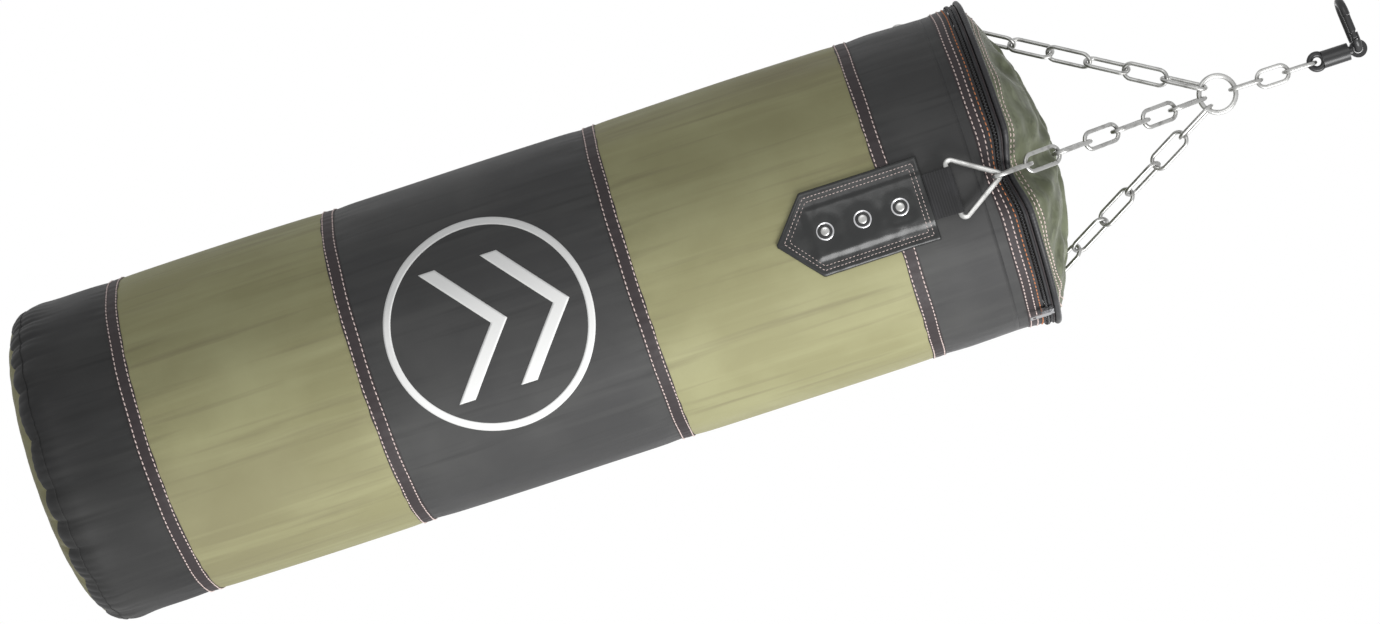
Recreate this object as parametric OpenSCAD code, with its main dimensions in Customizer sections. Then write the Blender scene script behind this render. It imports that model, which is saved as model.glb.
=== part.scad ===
// Heavy punching bag: a filled fabric cylinder on three chains, with a swivel and a carabiner.
// Millimetres. The origin is the centre of the base, +Z is up, and one chain faces -Y.

/* [Bag] */
// Radius of the bag's fabric
bag_r = 155; // [130:1:190]
// Height of the seam between the top band and the zip collar
body_h = 918; // [915:1:1200]
// Radius of the rounded lower corner
corner_r = 38; // [30:1:50]
// Height of the seam above the lower band
lower_band_z = 109; // [95:1:140]
// Heights of the middle band's two seams
middle_low_z = 331; // [300:1:380]
middle_high_z = 584; // [520:1:640]
// Distance of the top band's seam below the collar
top_band_h = 76; // [70:1:90]

/* [Layers] */
// Thickness of the outer fabric
skin_t = 1.5; // [1:0.1:2]
// Thickness of the folded hem laid over each seam
hem_t = 0.8; // [0.5:0.1:1]
// Width of each hem
hem_w = 13; // [10:1:18]
// Thickness of the inner liner
liner_t = 1.2; // [0.8:0.1:2]
// Thickness of the foam wall
foam_t = 15; // [10:1:20]

/* [Lid and collar] */
// Height of the collar, from the top band to the rim
collar_h = 38; // [34:1:44]
// Outward flare of the rim
flare = 4; // [2:0.5:6]
// Height of the lid's crown above the rim
crown_h = 38; // [25:1:50]
// How far each chain presses the rim in
dent_in = 25; // [22:1:28]
// How far each chain presses the rim down
dent_down = 7; // [5:1:10]
// Half of the angle that one dent takes up
dent_half_angle = 16; // [14:1:20]
// Radius of the zip's coil
coil_r = 2; // [1.5:0.1:2.4]
// Radius of the rim's piping
piping_r = 2.8; // [2.2:0.1:3.2]

/* [Hangers] */
// Width and length of each tab
tab_w = 80; // [70:1:90]
tab_len = 147; // [135:1:160]
// Length of the tab's pointed end
tab_point = 34; // [25:1:40]
// Thickness of the tab
tab_t = 1.6; // [1.2:0.1:2]
// Width of the webbing
strap_w = 44; // [38:1:45]
// Thickness of one layer of webbing
strap_t = 1.3; // [1:0.1:1.5]
// Distance between the rivets
rivet_pitch = 36; // [30:1:38]
// Radius of a rivet's head
rivet_head_r = 8.5; // [7:0.5:10]
// Straight base, height and corner radius of the triangle ring, along its wire's centre
triangle_base = 46; // [46:1:50]
triangle_h = 44; // [42:1:50]
triangle_bend = 4; // [3.5:0.5:5]
// Thickness of the triangle ring's wire
triangle_wire = 5; // [4:0.5:5]

/* [Chain] */
// Links in each chain
chain_links = 7; // [7:2:9]
// Inner length of a chain link
link_inner = 39; // [36:0.5:44]
// Inner length of one of the three top links
top_inner = 27; // [25:0.5:32]
// Thickness of the chain's wire
wire = 4; // [3.5:0.5:4.5]
// Inner width of a link
link_gap = 12; // [11:0.5:14]
// Radius of the joining ring, along its wire's centre
joiner_r = 17.5; // [17:0.5:20]
// Thickness of the joining ring's wire
joiner_wire = 5; // [4:0.5:5]
// Clearance between linked wires
play = 0.3; // [0.2:0.05:0.5]
// Extra turn from one link to the next on the two rear chains
rear_twist = 8; // [6:1:10]

/* [Swivel and carabiner] */
// Radius and height of the swivel's barrel
barrel_r = 8.5; // [8:0.5:10]
barrel_h = 26; // [24:1:32]
// Radius of the swivel's stud
stud_r = 4.5; // [4:0.25:5]
// Thickness of the carabiner's wire
hook_wire = 8; // [7:0.5:8]
// Length and width of the carabiner, outside
hook_len = 56; // [54:1:70]
hook_w = 32; // [31:1:36]
// Angle of the carabiner from upright
hook_lean = 95; // [90:1:100]

/* [Hidden] */
$fn = 64;

SIDES = ["front", "left", "right"];
AZIMUTH = [-90, 150, 30];          // where each chain leaves the bag
JOIN_ANGLE = [0, -40, 40];         // where each chain hangs on the joining ring, from its lowest point

// Seams of the bag
top_seam_z = body_h - top_band_h;
base_cut_r = bag_r - corner_r + corner_r * sin(55);
lap_r = bag_r + hem_t;

// Zip slider: midway between the front chain and the right one
slider_azimuth = -30;
zip_plate_t = 1.6;

// Hanger tabs, webbing and rings
tab_top_z = body_h - 47;
strap_r = lap_r + 2 * strap_t;
tab_r = strap_r + tab_t;
triangle_r = triangle_wire / 2;
ring_y = lap_r + strap_t + 4.9;
ring_base_z = body_h - 24;
apex_z = ring_base_z + triangle_h;
rivet_top_z = top_seam_z + 1;
rivet_shank_r = 2.5;

// Chains: the joining ring's height follows from the front chain's length
wire_r = wire / 2;
bow_r = (link_gap + wire) / 2;
front_run = chain_links * link_inner - triangle_r - joiner_wire / 2 - (chain_links + 1) * play;
joiner_low_z = apex_z + sqrt(front_run * front_run - ring_y * ring_y);
joiner_z = joiner_low_z + joiner_r;
top_pitch = top_inner - play;
top_3_z = joiner_z + joiner_r - joiner_wire / 2 - play + top_inner / 2;
top_2_z = top_3_z + top_pitch;
top_1_z = top_2_z + top_pitch;

// Swivel, from its lower eye up
eye_wire = 6;
eye_r = 7;
eye_z = top_1_z + top_inner / 2 - play - eye_wire / 2 + eye_r;
barrel_z = eye_z + eye_r - 1.5;
collar_h_z = 4;
barrel_top_z = barrel_z + barrel_h;
lug_r = hook_wire / 2 + 4.6;
hook_z = barrel_top_z + lug_r + 0.6;
head_t = 4;
washer_t = 1.2;
cavity_z = barrel_z + 10;

// Carabiner
hook_r = hook_wire / 2;
hook_bow = hook_w / 2 - hook_r;
hook_leg = hook_len - hook_w;
gate_from = 4;
gate_to = hook_leg - 2;

function chain_foot(i) = [ring_y * cos(AZIMUTH[i]), ring_y * sin(AZIMUTH[i]), apex_z];
function chain_head(i) = [joiner_r * sin(JOIN_ANGLE[i]), 0, joiner_z - joiner_r * cos(JOIN_ANGLE[i])];
function chain_gap(i) = (chain_links * link_inner - triangle_r - joiner_wire / 2
                         - norm(chain_head(i) - chain_foot(i))) / (chain_links + 1);

// How much a chain presses the rim in, from 0 to 1, at one azimuth
function from_chain(a) = min([for (c = AZIMUTH) abs((a - c + 540) % 360 - 180)]);
function press(a) = from_chain(a) < dent_half_angle ? (1 + cos(180 * from_chain(a) / dent_half_angle)) / 2 : 0;
// The collar's outer surface, with h from 0 at the top band to 1 at the rim
function collar_r(a, h) = bag_r + flare * h * h - dent_in * press(a) * max(0, h - 0.12) / 0.88;
function collar_z(a, h) = body_h + (collar_h - dent_down * press(a)) * h;
function collar_at(a, h, inward = 0) = [collar_r(a, h) - inward, collar_z(a, h)];
coil_h = 0.74;
coil_proud = 0.6;

// Faces of a skin over n stations of k points each, closed round the bag and round the section
function quads(n, k, wrap) = [
    for (i = [0:n - 1]) for (j = [0:(wrap ? k : k - 1) - 1])
        let (a = i * k + j, b = i * k + (j + 1) % k, c = ((i + 1) % n) * k + j, d = ((i + 1) % n) * k + (j + 1) % k)
        each [[a, c, b], [b, c, d]]];
function round_points(section, n) = [
    for (i = [0:n - 1]) let (a = 360 * i / n) for (p = section(a)) [p[0] * cos(a), p[0] * sin(a), p[1]]];

// A closed ring whose section changes with the azimuth
module ring_skin(section, n = 96) {
    polyhedron(points = round_points(section, n), faces = quads(n, len(section(0)), true), convexity = 6);
}

// A dome whose section runs from its upper middle out to the edge and back to its lower middle
module dome_skin(section, top_z, low_z, n = 96) {
    k = len(section(0));
    points = concat(round_points(section, n), [[0, 0, top_z], [0, 0, low_z]]);
    fans = [for (i = [0:n - 1]) let (m = (i + 1) % n)
            each [[n * k, m * k, i * k], [n * k + 1, i * k + k - 1, m * k + k - 1]]];
    polyhedron(points = points, faces = concat(quads(n, k, false), fans), convexity = 6);
}

// Outline of the bag's wall, from its axis out, at a depth under its surface
module bag_outline(depth, top_z) {
    r = bag_r - depth;
    c = corner_r - depth;
    translate([0, depth]) {
        square([r - c, top_z - depth]);
        translate([0, c]) square([r, top_z - depth - c]);
        translate([r - c, c]) circle(c);
    }
}

// A layer of the wall between two depths and two heights
module wall_layer(outer, inner, low_z, high_z) {
    rotate_extrude() intersection() {
        difference() {
            bag_outline(outer, body_h);
            bag_outline(inner, body_h + 1);
        }
        translate([0, low_z]) square([bag_r, high_z - low_z]);
    }
}

// A folded hem that laps a seam
module hem(low_z, high_z) {
    difference() {
        translate([0, 0, low_z]) cylinder(r = lap_r, h = high_z - low_z, $fn = 128);
        translate([0, 0, low_z - 1]) cylinder(r = bag_r, h = high_z - low_z + 2, $fn = 128);
    }
}

module at_chain(i) {
    rotate([0, 0, AZIMUTH[i] + 90]) children();
}

module rivet_holes() {
    for (i = [0:2]) for (k = [0:2])
        at_chain(i) translate([0, -bag_r + 12, rivet_top_z - k * rivet_pitch])
            rotate([90, 0, 0]) cylinder(r = rivet_shank_r, h = 30);
}

module base_panel() {
    color("darkkhaki") rotate_extrude() intersection() {
        difference() {
            bag_outline(0, body_h);
            bag_outline(skin_t, body_h + 1);
        }
        square([base_cut_r, corner_r]);
    }
}

module lower_band() {
    color("dimgray") {
        rotate_extrude() difference() {
            intersection() {
                difference() {
                    bag_outline(0, body_h);
                    bag_outline(skin_t, body_h + 1);
                }
                square([bag_r, lower_band_z]);
            }
            square([base_cut_r, corner_r]);
        }
        hem(lower_band_z - 3, lower_band_z + hem_w - 3);
    }
}

module lower_panel() {
    color("darkkhaki") wall_layer(0, skin_t, lower_band_z, middle_low_z);
}

module middle_band() {
    color("dimgray") {
        wall_layer(0, skin_t, middle_low_z, middle_high_z);
        hem(middle_low_z - hem_w + 3, middle_low_z + 3);
        hem(middle_high_z - 3, middle_high_z + hem_w - 3);
    }
}

module upper_panel() {
    color("darkkhaki") difference() {
        wall_layer(0, skin_t, middle_high_z, top_seam_z);
        rivet_holes();
    }
}

module top_band() {
    color("dimgray") difference() {
        union() {
            wall_layer(0, skin_t, top_seam_z, body_h);
            hem(top_seam_z - hem_w + 3, top_seam_z + 3);
        }
        rivet_holes();
    }
}

module liner() {
    color("silver") wall_layer(skin_t, skin_t + liner_t, skin_t, body_h);
}

module foam_wall() {
    color("lightgray") wall_layer(skin_t + liner_t, skin_t + liner_t + foam_t, skin_t + liner_t, body_h);
}

fill_depth = skin_t + liner_t + foam_t;
mound_r = bag_r - dent_in - 3;
mound_top = collar_h + crown_h - 11;
mound_edge = collar_h - dent_down - 5;
mound_curve = (mound_r * mound_r + pow(mound_top - mound_edge, 2)) / (2 * (mound_top - mound_edge));

// The filling, with a mound that holds the lid up
module filling() {
    color("rosybrown") rotate_extrude() {
        bag_outline(fill_depth, body_h);
        intersection() {
            translate([0, body_h - 5]) square([mound_r, mound_top + 6]);
            translate([0, body_h + mound_top - mound_curve]) circle(mound_curve, $fn = 128);
        }
    }
}

module zip_tape_lower() {
    color("black") ring_skin(function (a) [
        collar_at(a, 0), collar_at(a, 0.35), collar_at(a, coil_h - 0.06),
        collar_at(a, coil_h - 0.06, skin_t), collar_at(a, 0.35, skin_t), collar_at(a, 0, skin_t)]);
}

module zip_tape_upper() {
    color("black") ring_skin(function (a) [
        collar_at(a, coil_h + 0.06), collar_at(a, 0.91),
        collar_at(a, 0.91, skin_t), collar_at(a, coil_h + 0.06, skin_t)]);
}

// The coil lies between the edges of the two tapes
module zip_coil() {
    color("black") ring_skin(function (a) let (m = collar_at(a, coil_h, -coil_proud)) [
        for (t = [0:60:300]) [m[0] + coil_r * cos(t), m[1] + coil_r * sin(t)]]);
}

module rim_piping() {
    color("black") ring_skin(function (a) let (m = collar_at(a, 1, 0.6)) [
        for (t = [0:60:300]) [m[0] + piping_r * cos(t), m[1] + piping_r * sin(t)]]);
}

// The lid's upper surface, with t from 0 at its middle to 1 at its edge
function lid_at(a, t, down = 0) = let (e = collar_at(a, 1, piping_r + 0.7))
    [e[0] * t, e[1] + (body_h + collar_h + crown_h - e[1]) * (1 - t * t) - down];

module lid() {
    color("darkkhaki") dome_skin(function (a) concat(
        [for (t = [0.3, 0.55, 0.75, 0.9, 1]) lid_at(a, t)],
        [for (t = [1, 0.9, 0.75, 0.55, 0.3]) lid_at(a, t, skin_t)]),
        body_h + collar_h + crown_h, body_h + collar_h + crown_h - skin_t);
}

// The slider rides on the coil's outer half
module zip_slider() {
    m = collar_at(slider_azimuth, coil_h, -coil_proud);
    color("silver") rotate([0, 0, slider_azimuth + 90]) difference() {
        translate([-5, -m[0] - 5.2, m[1] - 6]) cube([10, 4, 12]);
        rotate_extrude($fn = 128) translate([m[0], m[1]]) circle(coil_r + 0.35, $fn = 32);
        translate([0, -m[0] - 6.2 + zip_plate_t, m[1] + 4.2]) rotate([0, 90, 0]) cylinder(r = 1, h = 12, center = true);
        translate([-2.2, -m[0] - 6, m[1] - 0.4]) cube([4.4, 3.2, 8]);
    }
}

// The pull's eye turns on a pin that it carries in the slider's cleft
module zip_pull() {
    m = collar_at(slider_azimuth, coil_h, -coil_proud);
    y = -m[0] - 6.2 + zip_plate_t;
    z = m[1] + 4.2;
    color("silver") rotate([0, 0, slider_azimuth + 90]) {
        translate([0, y, z]) rotate([0, 90, 0]) cylinder(r = 0.9, h = 9, center = true);
        translate([-1.8, y - 0.9, z - 4]) cube([3.6, 0.8, 4]);
        difference() {
            translate([-3, y - 2.1, z - 22]) cube([6, 1.3, 20]);
            translate([0, y, z - 18]) rotate([90, 0, 0]) cylinder(r = 1.6, h = 6);
        }
    }
}

// Outline of a tab, flat, with its point down
module tab_outline() {
    polygon([[-tab_w / 2, tab_top_z], [tab_w / 2, tab_top_z],
             [tab_w / 2, tab_top_z - tab_len + tab_point], [0, tab_top_z - tab_len],
             [-tab_w / 2, tab_top_z - tab_len + tab_point]]);
}

module curved_plate(inner_r, outer_r) {
    intersection() {
        difference() {
            cylinder(r = outer_r, h = body_h, $fn = 128);
            translate([0, 0, -1]) cylinder(r = inner_r, h = body_h + 2, $fn = 128);
        }
        rotate([90, 0, 0]) linear_extrude(bag_r * 2) children();
    }
}

strap_low_z = rivet_top_z - 2 * rivet_pitch - 14;

module hanger_tabs() {
    color("black") difference() {
        for (i = [0:2]) at_chain(i) difference() {
            curved_plate(lap_r, tab_r) tab_outline();
            curved_plate(lap_r - 1, strap_r)
                translate([-strap_w / 2 - 0.3, strap_low_z - 0.3]) square([strap_w + 0.6, body_h - strap_low_z]);
        }
        rivet_holes();
    }
}

// Section of the webbing's loop round the ring's base, in y and z
module loop_section() {
    inner = triangle_r + play;
    outer = inner + strap_t;
    difference() {
        union() {
            translate([-ring_y, ring_base_z]) circle(outer, $fn = 32);
            polygon([[-lap_r, tab_top_z + 1], [-strap_r - 1.6, tab_top_z + 1],
                     [-ring_y - outer, ring_base_z], [-ring_y + outer, ring_base_z]]);
        }
        translate([-ring_y, ring_base_z]) circle(inner, $fn = 32);
        polygon([[-lap_r - strap_t, tab_top_z + 7], [-strap_r - 0.2, tab_top_z + 7],
                 [-ring_y - inner, ring_base_z], [-ring_y + inner, ring_base_z]]);
    }
}

module strap_loops() {
    color("black") difference() {
        for (i = [0:2]) at_chain(i) {
            curved_plate(lap_r, strap_r)
                translate([-strap_w / 2, strap_low_z]) square([strap_w, tab_top_z + 5 - strap_low_z]);
            difference() {
                translate([-strap_w / 2, 0, 0]) rotate([90, 0, 90]) linear_extrude(strap_w) loop_section();
                translate([0, 0, tab_top_z - 40]) cylinder(r = lap_r, h = 80, $fn = 128);
            }
        }
        rivet_holes();
    }
}

module rivets() {
    color("silver") for (i = [0:2]) for (k = [0:2])
        at_chain(i) translate([0, 0, rivet_top_z - k * rivet_pitch]) rotate([90, 0, 0]) {
            translate([0, 0, bag_r - skin_t + 0.1]) cylinder(r = rivet_shank_r - 0.05, h = tab_r - bag_r + skin_t);
            translate([0, 0, tab_r]) cylinder(r = rivet_head_r, h = 1);
            translate([0, 0, tab_r + 1]) difference() {
                cylinder(r = rivet_head_r - 0.8, h = 0.8);
                translate([0, 0, 0.2]) cylinder(r = rivet_head_r - 2.6, h = 1);
            }
            translate([0, 0, tab_r + 1]) cylinder(r = rivet_head_r - 4.4, h = 0.9);
        }
}

// The ring's base runs through the webbing, and its apex holds the first link.
// Each corner is a bend of the wire, and the next corner's bend begins at the other end of a straight side.
module triangle_ring(i) {
    rise = triangle_h - 2 * triangle_bend;
    half = triangle_base / 2;
    slope = atan2(half, rise);
    low_z = ring_base_z + triangle_bend;
    corners = [[half, low_z, -90, slope], [0, apex_z - triangle_bend, slope, 180 - slope],
               [-half, low_z, 180 - slope, 270]];
    steps = 7;
    sides = 12;
    points = [for (c = corners) for (k = [0:steps]) let (a = c[2] + (c[3] - c[2]) * k / steps)
              for (t = [0:sides - 1]) let (out = triangle_bend + triangle_r * cos(360 * t / sides))
                  [c[0] + out * cos(a), -ring_y - triangle_r * sin(360 * t / sides), c[1] + out * sin(a)]];
    color("silver") at_chain(i) polyhedron(points = points, faces = quads(3 * (steps + 1), sides, true), convexity = 4);
}

// A link along Z with its flat in the XZ plane
module link(inner) {
    leg = inner + wire - 2 * bow_r;
    for (s = [-1, 1]) {
        translate([s * bow_r, 0, 0]) cylinder(r = wire_r, h = leg, center = true, $fn = 32);
        translate([0, 0, s * leg / 2]) rotate([90, 0, 0]) rotate([0, 0, s > 0 ? 0 : 180])
            rotate_extrude(angle = 180, $fn = 48) translate([bow_r, 0]) circle(wire_r, $fn = 32);
    }
}

module chain_link(i, k) {
    foot = chain_foot(i);
    run = chain_head(i) - foot;
    gap = chain_gap(i);
    along = -triangle_r - gap + link_inner / 2 + (k - 1) * (link_inner - gap);
    turn = i == 0 ? 0 : rear_twist * (k - 1) * (i == 1 ? -1 : 1);
    lean = acos(run[2] / norm(run));
    color("gainsboro") translate(foot + run * along / norm(run))
        rotate([0, lean, atan2(run[1], run[0])]) rotate([0, 0, (k - 1) * 90 + turn]) link(link_inner);
}

module top_link(z, turn) {
    color("gainsboro") translate([0, 0, z]) rotate([0, 0, turn]) link(top_inner);
}

module joining_ring() {
    color("silver") translate([0, 0, joiner_z]) rotate([90, 0, 0])
        rotate_extrude() translate([joiner_r, 0]) circle(joiner_wire / 2, $fn = 32);
}

module swivel_barrel() {
    color("dimgray") difference() {
        union() {
            translate([0, 0, eye_z]) rotate([90, 0, 0]) rotate_extrude() translate([eye_r, 0]) circle(eye_wire / 2, $fn = 32);
            translate([0, 0, barrel_z]) cylinder(r = barrel_r, h = barrel_h - collar_h_z);
        }
        translate([0, 0, cavity_z]) cylinder(r = barrel_r - 1.8, h = barrel_h);
    }
}

module swivel_collar() {
    color("dimgray") translate([0, 0, barrel_top_z - collar_h_z]) difference() {
        cylinder(r = barrel_r, h = collar_h_z);
        translate([0, 0, -1]) cylinder(r = stud_r + 0.2, h = collar_h_z + 2);
    }
}

// Bearing washer between the stud's head and the collar
module swivel_washer() {
    color("goldenrod") translate([0, 0, barrel_top_z - collar_h_z - washer_t]) difference() {
        cylinder(r = barrel_r - 2.1, h = washer_t);
        translate([0, 0, -1]) cylinder(r = stud_r + 0.2, h = washer_t + 2);
    }
}

// Lug that the carabiner runs through, with its stud and head
module swivel_eye() {
    head_z = barrel_top_z - collar_h_z - washer_t - play - head_t;
    color("dimgray") difference() {
        union() {
            translate([0, 0, head_z]) cylinder(r = barrel_r - 2.1, h = head_t);
            translate([0, 0, head_z]) cylinder(r = stud_r, h = hook_z - 6 - head_z);
            translate([0, 0, hook_z]) rotate([90, 0, 0]) cylinder(r = lug_r, h = 5, center = true);
        }
        translate([0, 0, hook_z]) rotate([90, 0, 0]) cylinder(r = hook_r + 0.6, h = 12, center = true);
    }
}

// The carabiner's own frame: X along it from the swivel's lug, Y across it
module at_hook() {
    translate([0, 0, hook_z]) rotate([0, 270 - hook_lean, 0]) children();
}

module hook_leg_at(side, from, to) {
    translate([hook_bow + from, side * hook_bow, 0]) rotate([0, 90, 0]) cylinder(r = hook_r, h = to - from, $fn = 32);
}

module hook_bow_at(x, turn) {
    translate([x, 0, 0]) rotate([0, 0, turn]) rotate_extrude(angle = 180) translate([hook_bow, 0]) circle(hook_r, $fn = 32);
}

module hook_body() {
    color("#222222") at_hook() difference() {
        union() {
            hook_bow_at(hook_bow, 90);
            hook_bow_at(hook_bow + hook_leg, -90);
            hook_leg_at(1, 0, hook_leg);
            hook_leg_at(-1, 0, gate_from);
            hook_leg_at(-1, gate_to + 0.4, hook_leg);
        }
        // Cleft for the gate's tongue
        translate([hook_bow + gate_from - 7, -hook_w / 2 - 1, -2.1]) cube([9, hook_wire + 4, 4.2]);
        translate([hook_bow + gate_from - 3.6, -hook_bow, 0]) cylinder(r = 1.25, h = 20, center = true);
    }
}

module hook_gate() {
    color("#333333") at_hook() translate([hook_bow, -hook_bow, 0]) difference() {
        union() {
            // The tapered end clears the cleft's cheeks as the gate opens
            translate([gate_from + 0.4, 0, 0]) rotate([0, 90, 0])
                cylinder(r1 = 1.9, r2 = hook_r - 0.5, h = 2, $fn = 32);
            translate([gate_from + 2.4, 0, 0]) rotate([0, 90, 0])
                cylinder(r = hook_r - 0.5, h = gate_to - gate_from - 2.4, $fn = 32);
            translate([gate_from - 3.6, -2.6, -1.8]) cube([6, 5.2, 3.6]);
            translate([gate_from - 3.6, 0, 0]) cylinder(r = 2.6, h = 3.6, center = true);
        }
        translate([gate_from - 3.6, 0, 0]) cylinder(r = 1.25, h = 20, center = true);
        translate([gate_from + 4, 0, 0]) rotate([0, 90, 0]) cylinder(r = 1.9, h = 10);
    }
}

module gate_pin() {
    color("silver") at_hook() translate([hook_bow + gate_from - 3.6, -hook_bow, 0])
        cylinder(r = 1.2, h = hook_wire - 0.6, center = true);
}

// Coil spring inside the gate
module gate_spring() {
    turns = 5;
    steps = 12;
    coil = [for (s = [0:turns * steps]) let (a = 360 * s / steps, out = [cos(a), sin(a)])
            for (t = [0:60:300]) let (r = 1.45 + 0.3 * cos(t))
                [gate_from + 4.4 + 9 * s / (turns * steps) + 0.3 * sin(t), r * out[0], r * out[1]]];
    n = turns * steps + 1;
    sides = [for (i = [0:n - 2]) for (j = [0:5]) let (a = i * 6 + j, b = i * 6 + (j + 1) % 6)
             each [[a, b, a + 6], [b, b + 6, a + 6]]];
    color("silver") at_hook() translate([hook_bow, -hook_bow, 0])
        polyhedron(points = coil, faces = concat(sides, [[5, 4, 3, 2, 1, 0]], [[for (j = [0:5]) (n - 1) * 6 + j]]));
}

// Raised print on the middle band: a ring with two chevrons
emblem_r = 98;
module emblem_shape() {
    difference() {
        circle(emblem_r);
        circle(emblem_r - 7);
    }
    for (s = [-38, 22]) translate([0, s])
        polygon([[-62, -12], [0, 40], [62, -12], [62, 4], [0, 56], [-62, 4]]);
}

module emblem() {
    color("white") rotate([0, 0, -5.4]) intersection() {
        difference() {
            cylinder(r = bag_r + 0.25, h = body_h, $fn = 128);
            translate([0, 0, -1]) cylinder(r = bag_r, h = body_h + 2, $fn = 128);
        }
        rotate([90, 0, 0]) linear_extrude(bag_r * 2)
            translate([0, (middle_low_z + middle_high_z) / 2 - 6]) emblem_shape();
    }
}

hook_body();
hook_gate();
gate_pin();
gate_spring();
swivel_eye();
swivel_washer();
swivel_barrel();
swivel_collar();
top_link(top_1_z, 90);  // top_link_1
top_link(top_2_z, 0);  // top_link_2
top_link(top_3_z, 90);  // top_link_3
joining_ring();
for (i = [0:2]) {
    triangle_ring(i);
    for (k = [1:chain_links])
        chain_link(i, k);
}
strap_loops();
hanger_tabs();
rivets();
base_panel();
lower_band();
lower_panel();
middle_band();
upper_panel();
top_band();
zip_tape_lower();
zip_coil();
zip_slider();
zip_pull();
zip_tape_upper();
rim_piping();
lid();
liner();
foam_wall();
filling();
emblem();
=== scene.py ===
"""Heavy punching bag: banded canvas skin, zipped lid, riveted tabs, chains, swivel and carabiner."""
import math

import bmesh
import bpy
import numpy as np
from mathutils import Matrix, Vector


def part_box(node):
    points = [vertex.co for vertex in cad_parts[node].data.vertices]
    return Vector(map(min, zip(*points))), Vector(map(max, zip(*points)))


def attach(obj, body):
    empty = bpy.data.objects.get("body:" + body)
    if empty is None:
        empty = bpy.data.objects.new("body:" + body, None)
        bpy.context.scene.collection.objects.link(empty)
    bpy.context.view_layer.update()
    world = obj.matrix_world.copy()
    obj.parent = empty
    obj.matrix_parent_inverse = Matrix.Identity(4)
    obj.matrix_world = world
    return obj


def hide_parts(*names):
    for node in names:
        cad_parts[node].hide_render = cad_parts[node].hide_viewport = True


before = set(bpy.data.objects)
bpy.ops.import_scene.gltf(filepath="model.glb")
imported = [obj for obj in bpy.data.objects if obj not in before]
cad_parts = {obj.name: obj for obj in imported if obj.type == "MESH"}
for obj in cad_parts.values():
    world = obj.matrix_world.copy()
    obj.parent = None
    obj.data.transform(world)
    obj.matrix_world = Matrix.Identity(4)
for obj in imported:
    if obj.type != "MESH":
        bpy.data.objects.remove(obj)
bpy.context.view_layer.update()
MM = 0.001
TAU = 2 * math.pi

# ---- Sizes, from the frame ----------------------------------------------------------------
BAG_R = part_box("upper_panel")[1][0]
SEAMS = (
    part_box("lower_panel")[0][2],
    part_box("lower_panel")[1][2],
    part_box("upper_panel")[0][2],
    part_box("upper_panel")[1][2],
)
BODY_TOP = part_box("zip_tape_lower")[0][2]
CROWN_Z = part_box("lid")[1][2]
CORNER = 38 * MM
COLLAR_H = 38 * MM
FLARE = 4 * MM
DENT_IN = 25 * MM
DENT_DOWN = 7 * MM
DENT_HALF = math.radians(16)
COIL_H = 0.74
SKIN = 1.2 * MM
HEM_T = 0.9 * MM
HEM_W = 13 * MM
CHAINS = {"front": -90, "left": 150, "right": 30}
FLAT_R = BAG_R - CORNER
CORNER_END = FLAT_R + CORNER * math.pi / 2
BASE_CUT = FLAT_R + CORNER * math.radians(55)


# ---- Mesh building ------------------------------------------------------------------------
def skin(name, points, wrap=(False, True), uv=None, ends=False):
    """A piece from a grid of points (rows, columns, 3).

    Each cell of the grid is one quad. wrap closes the rows or the columns on themselves, uv is a
    grid of the same size with one more row or column where it wraps, and ends fills the first and
    last rows with a fan.
    """
    rows, cols = points.shape[:2]
    r = np.arange(rows if wrap[0] else rows - 1)
    c = np.arange(cols if wrap[1] else cols - 1)
    r, c = np.meshgrid(r, c, indexing="ij")
    r1, c1 = (r + 1) % rows, (c + 1) % cols
    quads = np.stack([r * cols + c, r * cols + c1, r1 * cols + c1, r1 * cols + c], -1).reshape(-1, 4)
    verts = points.reshape(-1, 3)
    faces = quads.tolist()
    if ends:
        middle = len(verts)
        verts = np.vstack([verts, points[0].mean(0), points[-1].mean(0)])
        last = (rows - 1) * cols
        faces += [[middle, (k + 1) % cols, k] for k in range(cols)]
        faces += [[middle + 1, last + k, last + (k + 1) % cols] for k in range(cols)]
    mesh = bpy.data.meshes.new(name)
    mesh.from_pydata(verts.tolist(), [], faces)
    if uv is not None:
        layer = mesh.uv_layers.new(name="Surface")
        grid = np.stack([uv[r, c], uv[r, c + 1], uv[r + 1, c + 1], uv[r + 1, c]], -2).reshape(-1, 2)
        rest = len(mesh.loops) - len(grid)
        layer.data.foreach_set("uv", np.vstack([grid, np.zeros((rest, 2))]).ravel())
    return finish_mesh(name, mesh)


def finish_mesh(name, mesh):
    """Turns the faces outwards, shades them smooth and links the piece."""
    work = bmesh.new()
    work.from_mesh(mesh)
    bmesh.ops.recalc_face_normals(work, faces=work.faces)
    work.to_mesh(mesh)
    work.free()
    mesh.polygons.foreach_set("use_smooth", [True] * len(mesh.polygons))
    piece = bpy.data.objects.new(name, mesh)
    bpy.context.scene.collection.objects.link(piece)
    return piece


def place(piece, body, material, nodes=()):
    """Gives a piece its material and body, and hides the CAD nodes that it stands for."""
    piece.data.materials.clear()
    piece.data.materials.append(material)
    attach(piece, body)
    if nodes:
        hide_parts(*nodes)
    return piece


def unit(v):
    return v / np.linalg.norm(v, axis=-1, keepdims=True)


def many(name, template, faces, centres, axes):
    """Copies of a small template, one at each centre, turned by three axes given as (n, 3, 3)."""
    n, m = len(centres), len(template)
    verts = centres[:, None] + np.einsum("mk,nkj->nmj", template, axes)
    all_faces = (faces[None] + (np.arange(n) * m)[:, None, None]).reshape(-1, faces.shape[1])
    mesh = bpy.data.meshes.new(name)
    mesh.from_pydata(verts.reshape(-1, 3).tolist(), [], all_faces.tolist())
    return finish_mesh(name, mesh)


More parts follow.
